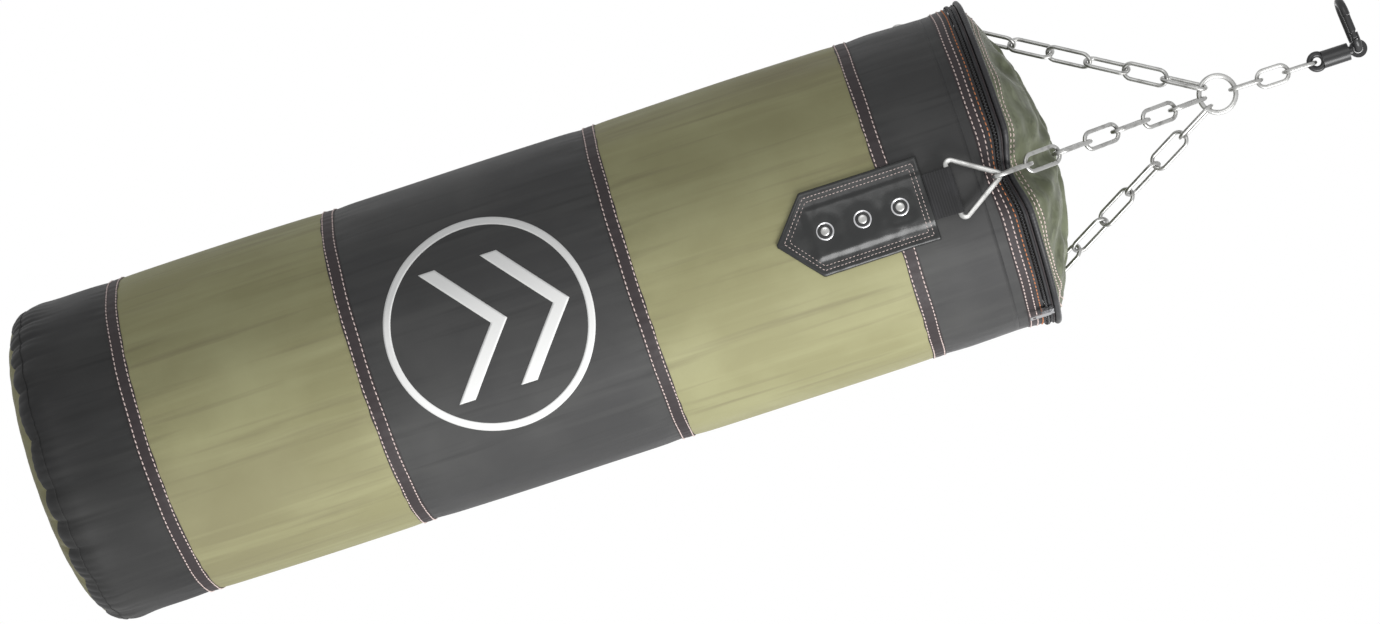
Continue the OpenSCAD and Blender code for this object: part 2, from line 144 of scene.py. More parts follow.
# ---- The bag's soft surface ---------------------------------------------------------------
def chain_press(theta):
    """How hard the nearest chain presses the rim, from 0 to 1: a raised cosine round its azimuth."""
    press = np.zeros_like(theta)
    for azimuth in CHAINS.values():
        away = np.abs((theta - math.radians(azimuth) + math.pi) % TAU - math.pi)
        here = 0.5 + 0.5 * np.cos(math.pi * away / DENT_HALF)
        press = np.maximum(press, np.where(away < DENT_HALF, here, 0))
    return press


def near(z, at, width):
    """1 at a height, falling to 0 over a width: a Gaussian."""
    return np.exp(-(((z - at) / width) ** 2))


def softness(theta, z):
    """How far the filled cloth stands out of the plain cylinder.

    Between two seams the cloth swells as a sine, at each seam it is drawn in, long shallow waves
    run round the bag, and short puckers fade away from each seam.
    """
    levels = [CORNER, *SEAMS, BODY_TOP]
    swell = np.zeros_like(z)
    for low, high in zip(levels[:-1], levels[1:]):
        t = np.clip((z - low) / (high - low), 0, 1)
        swell = swell + np.sin(math.pi * t) * min(1.0, (high - low) / 0.15) * 1.0 * MM
    waves = 0.4 + 0.35 * np.sin(2 * theta + 1.1 + 7 * z) + 0.25 * np.sin(3 * theta - 11 * z + 0.4)
    waves = waves + 0.15 * np.sin(5 * theta + 23 * z) + 0.1 * np.sin(7 * theta - 31 * z + 2)
    drawn = np.zeros_like(z)
    pucker = np.zeros_like(z)
    pull = np.zeros_like(z)
    for k, seam in enumerate(SEAMS):
        drawn = drawn + near(z, seam, 14 * MM) * 0.7 * MM
        ripple = np.sin(61 * theta + 3 * np.sin(7 * theta + k)) + 0.6 * np.sin(97 * theta + 2 * k)
        pucker = pucker + near(z, seam, 20 * MM) * ripple * 0.16 * MM
        tension = np.sin(17 * theta + 2.5 * np.sin(3 * theta + k) + 9 * (z - seam) * (-1) ** k)
        pull = pull + near(z, seam, 75 * MM) * (1 - near(z, seam, 12 * MM)) * tension * 0.4 * MM
    fade = np.clip(z / CORNER, 0, 1) * np.clip((BODY_TOP - z) / 0.05, 0, 1)
    return (swell - drawn + waves * MM + pucker + pull + 0.3 * MM) * fade


def lobes(theta):
    """Rounded lobes with sharp creases between them, from 0 to 1: the root of a sine's size."""
    return np.abs(np.sin(12 * theta + 1.1 * np.sin(5 * theta) + 0.6 * np.sin(3 * theta))) ** 0.6


def gather(theta, s):
    """Lobes where the lower band is gathered into the base panel, strongest at their seam."""
    fine = np.abs(np.sin(41 * theta + 2 * np.sin(7 * theta))) * 0.25
    return near(s, BASE_CUT + 6 * MM, 22 * MM) * (lobes(theta) + fine) * 3.2 * MM


def wall(theta, s, lift=0.0):
    """A point of the bag's skin: s runs from the middle of the base, round the corner and up the side.

    The base is flat, the corner is a quarter circle, the side is a cylinder, and the softness is
    added along the outward normal.
    """
    bend = np.clip((s - FLAT_R) / CORNER, 0, math.pi / 2)
    r = np.where(s < FLAT_R, s, FLAT_R + CORNER * np.sin(bend))
    z = np.where(s < CORNER_END, CORNER * (1 - np.cos(bend)), s - CORNER_END + CORNER)
    z = np.where(s < FLAT_R, 0, z)
    out = softness(theta, z) + gather(theta, s) + lift
    r = r + np.sin(bend) * out
    z = z - np.cos(bend) * out * (s < CORNER_END)
    return np.stack([r * np.cos(theta), r * np.sin(theta), np.maximum(z, 0.0)], -1)


def wall_s(z):
    """The distance along the skin of a height on the side."""
    return z - CORNER + CORNER_END


def collar(theta, h, lift=0.0):
    """A point of the collar, with h from 0 at the top band to 1 at the rim.

    The collar flares as the square of h, and each chain presses it in and down.
    """
    press = chain_press(theta)
    wave = (0.5 * np.sin(9 * theta + 1) + 0.35 * np.sin(17 * theta)) * MM * h
    r = BAG_R + FLARE * h * h - DENT_IN * press * np.maximum(0, h - 0.12) / 0.88 + lift + wave * (1 - press)
    z = BODY_TOP + (COLLAR_H - DENT_DOWN * press) * h
    return np.stack([r * np.cos(theta), r * np.sin(theta), z], -1)


def round_grid(count, levels):
    """Azimuths across and levels down, as two grids of the same shape."""
    theta = np.linspace(0, TAU, count, endpoint=False)
    return np.meshgrid(theta, levels)


def shell_of(surface, count, levels, outer, inner):
    """A closed thin shell: the surface at the outer lift going up, then at the inner lift going down."""
    theta, s = round_grid(count, levels)
    up, down = surface(theta, s, outer), surface(theta, s[::-1], inner)
    return np.concatenate([up, down])


def shell_uv(count, levels, radius=BAG_R):
    """Round the bag and up it, in metres."""
    u = np.linspace(0, TAU * radius, count + 1)
    v = np.concatenate([levels, levels[::-1], levels[:1]])
    return np.stack(np.meshgrid(u, v), -1)


def panel(name, low, high, material, nodes, count=360, step=4 * MM, pole=False):
    """One sewn panel of the skin, between two places along it.

    With a pole it starts at the middle of the base and is closed there.
    """
    levels = np.linspace(low, high, max(4, int(round((high - low) / step))))
    points = shell_of(wall, count, levels, 0.0, -SKIN)
    uv = shell_uv(count, levels)
    piece = skin(name, points, wrap=(not pole, True), uv=uv[:-1] if pole else uv, ends=pole)
    place(piece, "bag", material, nodes=nodes)
    return piece


def hem(name, z, upward, material):
    """A folded hem lapped over a seam, with a rounded edge that waves slightly."""
    sign = 1 if upward else -1
    t = np.linspace(0, TAU, 20, endpoint=False)
    theta = np.linspace(0, TAU, 540, endpoint=False)
    grid_t, grid_a = np.meshgrid(t, theta, indexing="ij")
    edge = 0.35 * MM * np.sin(23 * grid_a + 2 * np.sin(9 * grid_a))
    middle = wall_s(z) + sign * (HEM_W / 2 - 3 * MM)
    power = lambda v, k: np.sign(v) * np.abs(v) ** k
    s = middle + power(np.cos(grid_t), 0.35) * HEM_W / 2 + edge * sign * (np.cos(grid_t) * sign > 0)
    dip = near(s, middle - 5 * MM, 1.2 * MM) + near(s, middle + 5 * MM, 1.2 * MM)
    lift = HEM_T * (0.5 + 0.5 * power(np.sin(grid_t), 0.5)) * (1 - 0.4 * dip)
    points = wall(grid_a, s, lift)
    u = np.linspace(0, TAU * BAG_R, len(theta) + 1)
    v = np.linspace(0, 2 * HEM_W, len(t) + 1)
    piece = skin(name, points, wrap=(True, True), uv=np.stack(np.meshgrid(u, v), -1))
    return place(piece, "bag", material)


# ---- Stitching ----------------------------------------------------------------------------
def capsule(length, radius, sides=6, rings=5):
    """One stitch along X: rings of a rod whose radius falls off as a half circle at its ends."""
    t = np.linspace(-1, 1, rings)
    turn = np.linspace(0, TAU, sides, endpoint=False)
    r = radius * np.sqrt(np.clip(1 - np.abs(t) ** 3 * 0.92, 0, 1))
    sag = -radius * 0.9 * t**2
    x = np.broadcast_to((t * length / 2)[:, None], (rings, sides))
    y = r[:, None] * np.cos(turn)
    z = r[:, None] * np.sin(turn) + sag[:, None]
    points = np.stack([x, y, z], -1).reshape(-1, 3)
    i, j = np.meshgrid(np.arange(rings - 1), np.arange(sides), indexing="ij")
    k = (j + 1) % sides
    faces = np.stack([i * sides + j, i * sides + k, (i + 1) * sides + k, (i + 1) * sides + j], -1)
    caps = [[0, 1, 2, 3], [0, 3, 4, 5]] if sides == 6 else []
    last = (rings - 1) * sides
    caps += [[last + a for a in face] for face in caps]
    return points, np.vstack([faces.reshape(-1, 4), caps])


def stitches(name, rows, material, pitch=5.2 * MM, thread=0.6 * MM, body="bag"):
    """Rows of stitches: each row is (points, outward normals) along a line, evenly spaced by pitch.

    Each stitch lies along the line, raised by its thread's radius, and turned by a few degrees.
    """
    template, faces = capsule(pitch * 0.8, thread)
    centres, axes = [], []
    rng = np.random.default_rng(7)
    for line, normals in rows:
        along = unit(np.gradient(line, axis=0))
        out = unit(normals)
        side = np.cross(out, along)
        turn = rng.normal(0.06, 0.03, len(line))[:, None]
        x = unit(along * np.cos(turn) + side * np.sin(turn))
        centres.append(line + out * thread * 0.5)
        axes.append(np.stack([x, np.cross(out, x), out], 1))
    piece = many(name, template, faces, np.concatenate(centres), np.concatenate(axes))
    return place(piece, body, material)


def round_row(surface, level, lift, pitch=5.2 * MM, wobble=0.25 * MM):
    """A row of stitches right round the bag, at one level of a surface."""
    count = int(TAU * BAG_R / pitch)
    theta = np.linspace(0, TAU, count, endpoint=False)
    level = level + wobble * np.sin(13 * theta) * (1 if surface is wall else 1 / COLLAR_H)
    line = surface(theta, level, lift)
    above = surface(theta, level, lift + 1 * MM)
    return line, above - line


# ---- Materials ----------------------------------------------------------------------------
def linear(*rgb):
    """An sRGB colour of 0 to 255 as linear RGBA."""
    c = np.array(rgb) / 255
    return (*np.where(c <= 0.04045, c / 12.92, ((c + 0.055) / 1.055) ** 2.4), 1.0)


class Finish:
    """A material with its nodes added one at a time."""

    def __init__(self, name, colour, roughness, metallic=0.0):
        self.made = bpy.data.materials.new(name)
        self.made.use_nodes = True
        self.tree = self.made.node_tree
        self.shader = self.tree.nodes["Principled BSDF"]
        self.shader.inputs["Base Color"].default_value = colour
        self.shader.inputs["Roughness"].default_value = roughness
        self.shader.inputs["Metallic"].default_value = metallic
        self.colour, self.roughness = colour, roughness
        self.height = None
        self.coords = self.tree.nodes.new("ShaderNodeTexCoord")

    def node(self, kind, inputs=None, **settings):
        made = self.tree.nodes.new(kind)
        for key, value in settings.items():
            setattr(made, key, value)
        for key, value in (inputs or {}).items():
            if isinstance(value, bpy.types.NodeSocket):
                self.tree.links.new(value, made.inputs[key])
            else:
                made.inputs[key].default_value = value
        return made

    def noise(self, scale, detail=4, coords="Object", stretch=(1, 1, 1)):
        place_at = self.node("ShaderNodeMapping", {"Vector": self.coords.outputs[coords], "Scale": stretch})
        inputs = {"Vector": place_at.outputs[0], "Scale": scale, "Detail": detail}
        made = self.node("ShaderNodeTexNoise", inputs)
        return made.outputs["Fac"]

    def wave(self, scale, direction, coords="UV"):
        made = self.node(
            "ShaderNodeTexWave",
            {"Vector": self.coords.outputs[coords], "Scale": scale, "Distortion": 0.4, "Detail": 1.0},
            bands_direction=direction,
        )
        return made.outputs["Fac"]

    def maths(self, kind, a, b):
        return self.node("ShaderNodeMath", {0: a, 1: b}, operation=kind).outputs[0]

    def ramp(self, value, low, high):
        return self.node("ShaderNodeMapRange", {"Value": value, "To Min": low, "To Max": high}).outputs[0]

    def tint(self, value, other, low=0.35, high=0.7):
        """Mixes another colour in where a value is high."""
        inputs = {"Value": value, "From Min": low, "From Max": high}
        factor = self.node("ShaderNodeMapRange", inputs).outputs[0]
        mix = self.node("ShaderNodeMix", data_type="RGBA")
        self.tree.links.new(factor, mix.inputs["Factor"])
        before = self.shader.inputs["Base Color"]
        if before.is_linked:
            self.tree.links.new(before.links[0].from_socket, mix.inputs["A"])
        else:
            mix.inputs["A"].default_value = self.colour
        mix.inputs["B"].default_value = other
        self.tree.links.new(mix.outputs["Result"], before)

    def rough(self, value, low, high):
        self.tree.links.new(self.ramp(value, low, high), self.shader.inputs["Roughness"])

    def bump(self, value, distance, strength=1.0):
        made = self.node("ShaderNodeBump", {"Height": value, "Distance": distance, "Strength": strength})
        before = self.shader.inputs["Normal"]
        if before.is_linked:
            self.tree.links.new(before.links[0].from_socket, made.inputs["Normal"])
        self.tree.links.new(made.outputs["Normal"], before)


def canvas(name, colour, pale, dark, roughness=0.62):
    """Coated canvas: a fine plain weave, cloudy dye, scuffs and a slight sheen."""
    f = Finish(name, colour, roughness)
    f.tint(f.noise(9, 5), pale, 0.45, 0.72)
    f.tint(f.noise(5, 3, stretch=(1, 1, 0.4)), dark, 0.52, 0.78)
    f.tint(f.noise(70, 3, stretch=(1, 1, 0.06)), pale, 0.5, 0.85)
    f.tint(f.noise(110, 2, stretch=(1, 1, 0.05)), dark, 0.55, 0.9)
    weave = f.maths("MULTIPLY", f.wave(380, "X"), f.wave(380, "Y"))
    f.bump(weave, 0.12 * MM, 0.5)
    f.bump(f.noise(60, 3), 0.5 * MM, 0.35)
    f.rough(f.noise(25, 4), roughness - 0.09, roughness + 0.1)
    f.shader.inputs["Sheen Weight"].default_value = 0.06
    f.shader.inputs["Specular IOR Level"].default_value = 0.25
    return f.made


def ribbed(name, colour, pale, pitch, roughness=0.7, direction="Y"):
    """Woven tape: ribs across it and a fine diagonal twill."""
    f = Finish(name, colour, roughness)
    f.tint(f.noise(40, 3), pale, 0.45, 0.75)
    f.bump(f.wave(0.314 / pitch, direction), 0.25 * MM, 0.7)
    f.bump(f.wave(700, "DIAGONAL"), 0.06 * MM, 0.5)
    return f.made


def metal(name, colour, roughness, stain, grain=90, depth=0.05 * MM):
    """Worn metal: fine grain, dull patches and a varied gloss."""
    f = Finish(name, colour, roughness, 1.0)
    f.tint(f.noise(grain, 5), stain, 0.5, 0.8)
    f.rough(f.noise(grain * 2, 4), roughness - 0.08, roughness + 0.14)
    f.bump(f.noise(grain * 6, 3), depth, 0.5)
    return f.made


def paint(name, colour, roughness, wear):
    """Black powder coat with a fine orange peel and faint wear."""
    f = Finish(name, colour, roughness)
    f.tint(f.noise(120, 5), wear, 0.6, 0.85)
    f.rough(f.noise(200, 3), roughness - 0.06, roughness + 0.12)
    f.bump(f.noise(900, 2), 0.04 * MM, 0.6)
    f.shader.inputs["Coat Weight"].default_value = 0.15
    return f.made


def plain(name, colour, roughness, grain=300, depth=0.05 * MM):
    f = Finish(name, colour, roughness)
    f.rough(f.noise(grain, 3), roughness - 0.06, roughness + 0.1)
    f.bump(f.noise(grain, 4), depth, 0.5)
    return f.made


OLIVE = canvas("olive_canvas", linear(149, 146, 108), linear(163, 161, 122), linear(128, 122, 93))
BLACK = canvas("charcoal_canvas", linear(62, 62, 62), linear(74, 74, 73), linear(48, 48, 48), 0.58)
LOWER = canvas("lower_canvas", linear(46, 46, 46), linear(58, 58, 57), linear(34, 34, 34), 0.58)
LID = canvas("lid_canvas", linear(96, 101, 76), linear(138, 144, 118), linear(60, 64, 45), 0.6)
HEM = plain("hem_cloth", linear(40, 31, 33), 0.6, 500)
THREAD = plain("pink_thread", linear(226, 206, 200), 0.7, 2000)
RUST_THREAD = plain("rust_thread", linear(206, 132, 88), 0.7, 2000)
WEBBING = ribbed("webbing", linear(30, 30, 31), linear(46, 46, 48), 2.2 * MM)
ZIP_TAPE = ribbed("zip_tape", linear(34, 34, 36), linear(60, 60, 62), 1.6 * MM)
NYLON = plain("zip_nylon", linear(30, 30, 32), 0.35)
PIPING = ribbed("rim_piping", linear(32, 32, 34), linear(56, 56, 58), 2.5 * MM, 0.5)
GALVANISED = metal("galvanised_steel", linear(196, 196, 194), 0.3, linear(150, 150, 148))
BRIGHT = metal("nickel_cap", linear(214, 214, 216), 0.16, linear(180, 180, 182), 150, 0.02 * MM)
BLACK_METAL = paint("black_powder_coat", linear(34, 34, 35), 0.38, linear(62, 62, 62))
BRASS = metal("bearing_brass", linear(196, 160, 92), 0.3, linear(150, 120, 70))
PRINT = plain("white_print", linear(236, 236, 234), 0.55, 400)


def vinyl():
    """Glossy black vinyl with a pebbled grain and faint creases."""
    f = Finish("tab_vinyl", linear(30, 31, 31), 0.3)
    f.tint(f.noise(30, 4), linear(52, 53, 52), 0.55, 0.8)
    f.rough(f.noise(45, 4), 0.22, 0.42)
    f.bump(f.noise(500, 3), 0.12 * MM, 0.6)
    f.bump(f.noise(35, 2), 0.8 * MM, 0.5)
    return f.made


VINYL = vinyl()

# ---- Skin panels --------------------------------------------------------------------------
panel("base_cloth", 2 * MM, BASE_CUT, OLIVE, ["base_panel"], count=540, step=2 * MM, pole=True)
panel("lower_band_cloth", BASE_CUT, wall_s(SEAMS[0]), LOWER, ["lower_band"], count=540, step=2.5 * MM)
panel("lower_panel_cloth", wall_s(SEAMS[0]), wall_s(SEAMS[1]), OLIVE, ["lower_panel"])
panel("middle_band_cloth", wall_s(SEAMS[1]), wall_s(SEAMS[2]), BLACK, ["middle_band"])
panel("upper_panel_cloth", wall_s(SEAMS[2]), wall_s(SEAMS[3]), OLIVE, ["upper_panel"])
panel("top_band_cloth", wall_s(SEAMS[3]), wall_s(BODY_TOP), BLACK, ["top_band"])

HEMS = (("lower_hem", SEAMS[0], True), ("middle_hem_low", SEAMS[1], False),
        ("middle_hem_high", SEAMS[2], True), ("top_hem", SEAMS[3], False))
rows = []
for name, z, upward in HEMS:
    hem(name, z, upward, HEM)
    middle = wall_s(z) + (1 if upward else -1) * (HEM_W / 2 - 3 * MM)
    rows += [round_row(wall, middle + side * 5 * MM, HEM_T * 0.75) for side in (-1, 1)]
stitches("hem_stitches", rows, THREAD)

# Edge of the lower band, gathered into lobes where it meets the base
t = np.linspace(0, TAU, 20, endpoint=False)
grid_t, grid_a = np.meshgrid(t, np.linspace(0, TAU, 900, endpoint=False), indexing="ij")
FOLD_HALF, FOLD_WAVE = 6 * MM, 5 * MM
scallop = FOLD_WAVE * (lobes(grid_a) - 0.5) * (np.cos(grid_t) < 0.2)
edge_s = BASE_CUT + 2 * MM + np.cos(grid_t) * FOLD_HALF - scallop
fold = skin("lower_band_fold", wall(grid_a, edge_s, 0.5 * MM + 0.7 * MM * np.sin(grid_t)), wrap=(True, True))
place(fold, "bag", LOWER)

# ---- Collar, zip and lid ------------------------------------------------------------------
def tape(name, low, high, material, nodes=(), lift=0.0):
    """A strip of the collar, closed over its two edges."""
    levels = np.linspace(low, high, 12)
    points = shell_of(collar, 540, levels, lift, -SKIN)
    piece = skin(name, points, wrap=(True, True), uv=shell_uv(540, levels * COLLAR_H))
    return place(piece, "bag", material, nodes=nodes)


tape("collar_cloth", 0.0, 0.27, BLACK)
tape("collar_hem", 0.25, 0.52, HEM, lift=0.5 * MM)
tape("lower_zip_tape", 0.5, COIL_H - 0.06, ZIP_TAPE, ["zip_tape_lower"])
tape("upper_zip_tape", COIL_H + 0.06, 0.91, ZIP_TAPE, ["zip_tape_upper"])
tape_rows = [round_row(collar, np.full(1, h), 0.45 * MM) for h in (0.3, 0.47)]
stitches("tape_stitches_low", tape_rows, THREAD)
stitches("tape_stitches_high", [round_row(collar, np.full(1, 0.6), 0.05 * MM)], RUST_THREAD)


def ring_tube(name, h, inward, radius, count, material, nodes=(), wave=0.0, repeats=1, sides=14):
    """A round cord on the collar: its radius swells as a sine, so it can show twists or ribs."""
    theta = np.linspace(0, TAU, count, endpoint=False)
    t = np.linspace(0, TAU, sides, endpoint=False)
    grid_a, grid_t = np.meshgrid(theta, t, indexing="ij")
    middle = collar(grid_a, np.full_like(grid_a, h), -inward)
    r = radius * (1 + wave * np.sin(repeats * grid_a + grid_t))
    out = np.stack([np.cos(grid_a), np.sin(grid_a), 0 * grid_a], -1)
    up = np.array([0, 0, 1.0])
    points = middle + r[..., None] * (np.cos(grid_t)[..., None] * out + np.sin(grid_t)[..., None] * up)
    return place(skin(name, points, wrap=(True, True)), "bag", material, nodes=nodes)


ring_tube("rim_cord", 1.0, 0.6 * MM, 2.8 * MM, 1080, PIPING, ["rim_piping"], 0.04, 260)
ring_tube("piping_seam", 0.885, -0.2 * MM, 0.7 * MM, 540, HEM)


def zip_teeth():
    """The coil's turns: bent wires laid side by side round the collar, alternating up and down."""
    count = 620
    theta = np.linspace(0, TAU, count, endpoint=False)
    middle = collar(theta, np.full(count, COIL_H), 0.5 * MM)
    out = np.stack([np.cos(theta), np.sin(theta), 0 * theta], -1)
    around = np.stack([-np.sin(theta), np.cos(theta), 0 * theta], -1)
    up = np.broadcast_to([0, 0, 1.0], out.shape)
    template, faces = capsule(3.7 * MM, 0.62 * MM, rings=7)
    lean = np.radians(14) * np.where(np.arange(count) % 2, 1, -1)[:, None]
    x = up * np.cos(lean) + around * np.sin(lean)
    shifted = middle + up * np.where(np.arange(count) % 2, 0.35 * MM, -0.35 * MM)[:, None]
    axes = np.stack([x, np.cross(out, x), out], 1)
    return many("zip_coil_turns", template, faces, shifted + out * 0.9 * MM, axes)


coil = place(zip_teeth(), "bag", NYLON, nodes=["zip_coil"])
ring_tube("coil_core", COIL_H, 0.0, 1.1 * MM, 540, NYLON)


def lid_surface(theta, t, down):
    """The lid: a shallow dome from its crown to the piped rim, with radial and cross folds.

    The edge follows the collar's rim, the crown is a parabola, the hem near the edge lies flatter,
    and folds are sums of sines that fade towards the crown.
    """
    edge = collar(theta, np.ones_like(theta), -3.5 * MM)
    r_edge = np.hypot(edge[..., 0], edge[..., 1])
    rise = CROWN_Z + 6 * MM - edge[..., 2]
    z = edge[..., 2] + rise * (1 - t * t) - down
    dent = chain_press(theta) * np.exp(-(((t - 0.98) / 0.16) ** 2)) * 1.5 * MM
    fold = np.sin(11 * theta + 3 * np.sin(2 * theta) + 5 * t) * 0.9 + 0.55 * np.sin(19 * theta - 9 * t + 1)
    fold = fold * np.exp(-(((t - 0.72) / 0.22) ** 2)) * 2.2 * MM
    x, y = r_edge * t * np.cos(theta), r_edge * t * np.sin(theta)
    crease = np.sin(58 * x + 14 * np.sin(21 * y)) + 0.7 * np.sin(83 * y + 9 * np.sin(30 * x) + 2)
    fold = fold + crease * 1.8 * MM * np.clip((0.88 - t) / 0.3, 0, 1)
    hemmed = np.clip((t - 0.87) / 0.012, 0, 1) * 0.5 * MM
    z = z - dent + np.minimum(fold, 3 * MM) * (t < 0.995) + hemmed * (t < 0.985)
    return np.stack([x, y, z], -1)


levels = [np.linspace(0.01, 0.86, 60), np.linspace(0.865, 0.9, 8), np.linspace(0.91, 1.0, 14)]
levels = np.concatenate(levels)
theta, t = round_grid(560, levels)
points = np.concatenate([lid_surface(theta, t, 0.0), lid_surface(theta, t[::-1], SKIN)])
lid = place(skin("lid_cloth", points, wrap=(False, True), ends=True), "bag", LID, nodes=["lid"])
stitch_theta = np.linspace(0, TAU, 190, endpoint=False)
lid_rows = []
for level in (0.905, 0.945):
    line = lid_surface(stitch_theta, np.full(190, level), 0.0)
    lid_rows.append((line, np.broadcast_to([0.0, 0.0, 1.0], line.shape)))
stitches("lid_stitches", lid_rows, THREAD)


# ---- Hanger tabs, webbing and rivets --------------------------------------------------------
def turned(points, azimuth):
    """Points made for the chain at -Y, turned to another chain's azimuth."""
    a = math.radians(azimuth + 90)
    turn = np.array([[math.cos(a), -math.sin(a), 0], [math.sin(a), math.cos(a), 0], [0, 0, 1]])
    return points @ turn.T


def on_bag(x, z, r):
    """A flat place (x, z) wrapped onto a cylinder of radius r, on the -Y side of the bag."""
    a = x / BAG_R
    return np.stack([r * np.sin(a), -r * np.cos(a), z], -1)


TAB_TOP, TAB_W, TAB_LEN, TAB_POINT = 871 * MM, 80 * MM, 147 * MM, 34 * MM
TAB_INSETS = (6 * MM, 10 * MM)
STRAP_W = 44 * MM
RIVETS = (843 * MM, 807 * MM, 771 * MM)
RING_Y, RING_BASE = 162.0 * MM, 894 * MM


def tab_front(x, z, azimuth):
    """The radius of the vinyl's face over the skin.

    It is domed over the webbing as a smoothstep, pressed in round each rivet, and creased by sines.
    """
    across = np.clip((STRAP_W / 2 + 5 * MM - np.abs(x)) / (7 * MM), 0, 1)
    over = across * across * (3 - 2 * across) * np.clip((z - 752 * MM) / (8 * MM), 0, 1)
    r = BAG_R + softness(math.radians(azimuth) + x / BAG_R, z) + 2.4 * MM + 2.0 * MM * over
    for rivet in RIVETS:
        away = np.hypot(x, z - rivet)
        r = r - 0.5 * MM * np.exp(-((away / (12 * MM)) ** 2)) + 0.3 * MM * near(away, 17 * MM, 4 * MM)
    crease = 0.35 * np.sin(x * 160 + 3 * np.sin(z * 90)) * np.sin(z * 210 + 1)
    crease = crease + 0.25 * np.sin(z * 330 + x * 70)
    return r + crease * MM * 0.6


def half_width(z):
    """Half the tab's width at a height: full down to the shoulders, then straight to the tip."""
    shoulder = TAB_TOP - TAB_LEN + TAB_POINT
    return TAB_W / 2 * np.clip((z - (TAB_TOP - TAB_LEN)) / (shoulder - TAB_TOP + TAB_LEN), 0.03, 1)


def tab_points(azimuth):
    """A tab as a loop of points at each height: across its face, round its edge and back behind."""
    z = np.linspace(TAB_TOP - 0.6 * MM, TAB_TOP - TAB_LEN + 0.8 * MM, 90)
    k = np.linspace(-1, 1, 61)
    grid_z, grid_k = np.meshgrid(z, k, indexing="ij")
    x = grid_k * half_width(grid_z)
    edge = np.minimum(half_width(grid_z) * (1 - np.abs(grid_k)), TAB_TOP - grid_z)
    rounded = 0.7 * MM * np.exp(-edge / (1.2 * MM))
    sewn = near(edge, TAB_INSETS[0], 0.8 * MM) + near(edge, TAB_INSETS[1], 0.8 * MM)
    bead = 0.35 * MM * near(edge, 2.4 * MM, 1.6 * MM) - 0.3 * MM * sewn
    front_r = tab_front(x, grid_z, azimuth) + bead - rounded
    back_r = tab_front(x, grid_z, azimuth) - 1.5 * MM + rounded * 0.3
    front = on_bag(x, grid_z, front_r)
    back = on_bag(x[:, ::-1], grid_z, back_r[:, ::-1])
    return turned(np.concatenate([front, back], 1), azimuth)


def tab_rows(azimuth):
    """Two rows of stitches inside the tab's outline."""
    found = []
    for inset in TAB_INSETS:
        w = TAB_W / 2 - inset
        top = TAB_TOP - inset
        tip = TAB_TOP - TAB_LEN + inset * 1.31
        shoulder = TAB_TOP - TAB_LEN + TAB_POINT + inset * 0.35
        corners = [(-w, top), (w, top), (w, shoulder), (0, tip), (-w, shoulder), (-w, top)]
        for (x0, z0), (x1, z1) in zip(corners[:-1], corners[1:]):
            n = max(2, int(math.hypot(x1 - x0, z1 - z0) / (3.6 * MM)))
            f = (np.arange(n) + 0.5) / n
            x, z = x0 + (x1 - x0) * f, z0 + (z1 - z0) * f
            r = tab_front(x, z, azimuth) - 0.25 * MM
            line = turned(on_bag(x, z, r), azimuth)
            above = turned(on_bag(x, z, r + 1 * MM), azimuth)
            found.append((line, above - line))
    return found


for side, azimuth in CHAINS.items():
    piece = skin(f"{side}_tab", tab_points(azimuth), wrap=(False, True), ends=True)
    place(piece, "bag", VINYL)
    if side == "front":
        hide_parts("hanger_tabs")
    stitches(f"{side}_tab_stitches", tab_rows(azimuth), THREAD, pitch=3.6 * MM, thread=0.3 * MM)


def webbing_points(azimuth):
    """The webbing: up out of the tab, round the ring's base and back down inside.

    Its middle line is two nearly straight runs joined by a half circle, and each cross-section is a
    flat loop with rounded edges.
    """
    bow = 2.5 * MM + 0.3 * MM + 0.65 * MM
    turn = np.linspace(0, math.pi, 17)
    outer_z = np.linspace(TAB_TOP - 5 * MM, RING_BASE - 1 * MM, 9)
    inner_z = np.linspace(RING_BASE - 1 * MM, TAB_TOP - 4 * MM, 8)
    f = np.clip((RING_BASE - outer_z) / (RING_BASE - TAB_TOP), 0, 1)
    outer_r = RING_Y + bow + (157.0 * MM - RING_Y - bow) * f**0.8
    g = np.clip((RING_BASE - inner_z) / (RING_BASE - TAB_TOP), 0, 1)
    inner_r = RING_Y - bow + (156.5 * MM - RING_Y + bow) * g
    r = np.concatenate([outer_r, RING_Y + bow * np.cos(turn), inner_r])
    z = np.concatenate([outer_z, RING_BASE + bow * np.sin(turn), inner_z])
    line = np.stack([r, z], -1)
    along = unit(np.gradient(line, axis=0))
    normal = np.stack([along[:, 1], -along[:, 0]], -1)
    t = np.linspace(0, TAU, 28, endpoint=False)
    x = np.sign(np.cos(t)) * np.abs(np.cos(t)) ** 0.3 * STRAP_W / 2
    up = np.sign(np.sin(t)) * np.abs(np.sin(t)) ** 0.6 * 0.62 * MM
    at_r = line[:, 0][:, None] + normal[:, 0][:, None] * up
    at_z = line[:, 1][:, None] + normal[:, 1][:, None] * up
    x = np.broadcast_to(x, at_r.shape)
    return turned(np.stack([x, -at_r, at_z], -1), azimuth)


for side, azimuth in CHAINS.items():
    points = webbing_points(azimuth)
    u = np.linspace(0, 1, points.shape[1] + 1) * 2 * STRAP_W
    v = np.linspace(0, 100 * MM, points.shape[0])
    uv = np.stack(np.meshgrid(u, v), -1)
    piece = skin(f"{side}_webbing", points, wrap=(False, True), ends=True, uv=uv)
    nodes = ["strap_loops"] if side == "front" else []
    place(piece, "bag", WEBBING, nodes=nodes)


